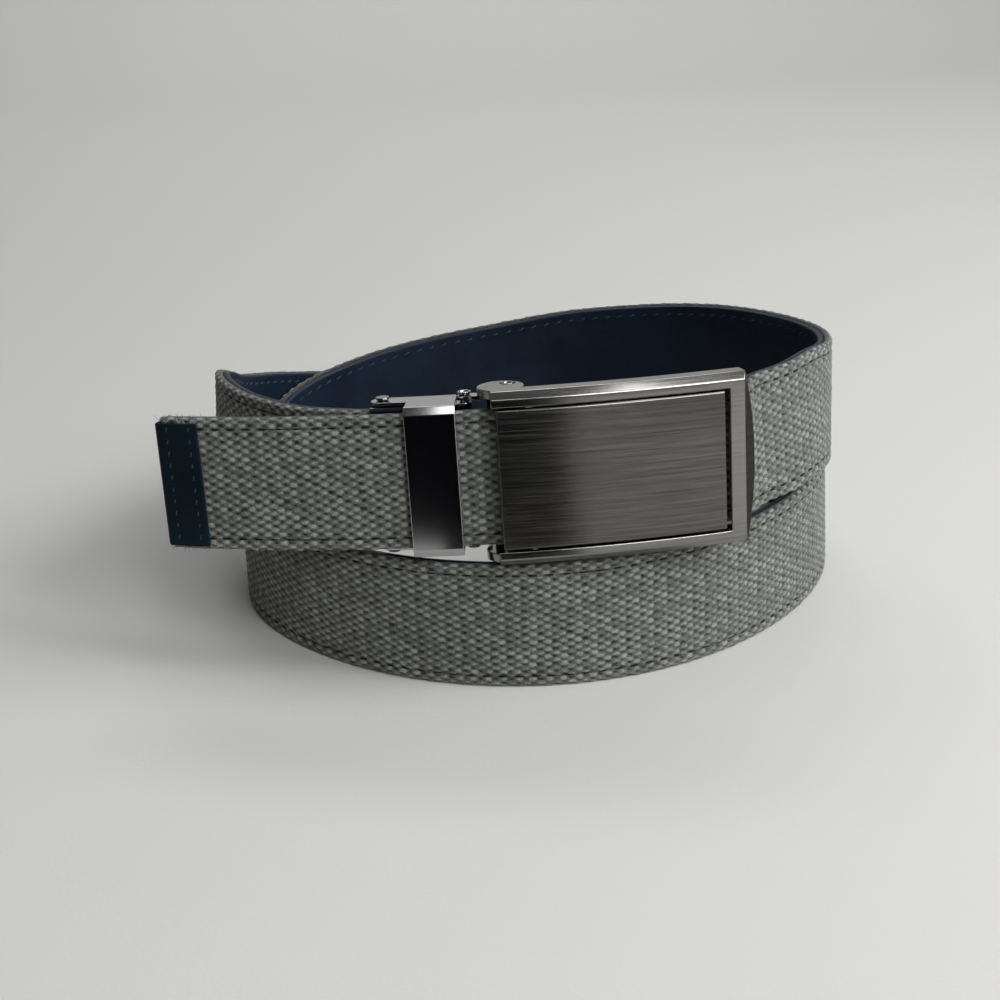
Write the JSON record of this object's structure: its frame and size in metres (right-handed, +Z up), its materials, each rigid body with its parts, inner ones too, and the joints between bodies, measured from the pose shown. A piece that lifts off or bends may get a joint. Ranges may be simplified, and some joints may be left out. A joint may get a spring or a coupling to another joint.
{
  "type": "ratchet belt",
  "caption": "Coiled canvas belt with a leather lining, a sliding ratchet buckle with a hinged release lid, a keeper loop and a leather tip.",
  "frame": {"origin": "bottom centre of the belt's box, on the floor it stands on", "axes": "+Z up out of the coil, +X towards the viewer's right along the buckle, the buckle faces -Y"},
  "size_m": [0.1866, 0.1708, 0.0809],
  "materials": {
    "canvas": "coarse matte weave",
    "lining_leather": "smooth, slightly glossy",
    "tip_leather": "smooth, slightly glossy",
    "track_plastic": "satin",
    "buckle_metal": "polished gunmetal",
    "brushed_metal": "brushed gunmetal",
    "dark_metal": "glossy black metal"
  },
  "bodies": {
    "belt": {"strap_face": "canvas", "strap_lining": "lining_leather", "tip_cap": "tip_leather", "ratchet_track": "track_plastic", "buckle_frame": "buckle_metal", "buckle_pin": "buckle_metal", "hinge_link_top": "dark_metal", "hinge_link_bottom": "dark_metal", "hinge_pin": "dark_metal", "clamp_body": "dark_metal", "clamp_rivet_top": "buckle_metal", "clamp_rivet_bottom": "buckle_metal", "keeper_loop": "dark_metal"},
    "lid": {"buckle_lid": "brushed_metal"}
  },
  "joints": [
    {"name": "release_lid", "type": "hinge", "parent": "belt", "child": "lid", "pos_m": [-0.00259, -0.07107, 0.0571], "axis": [0.0244, -0.1218, -0.9923], "range_deg": [0, 28]}
  ]
}
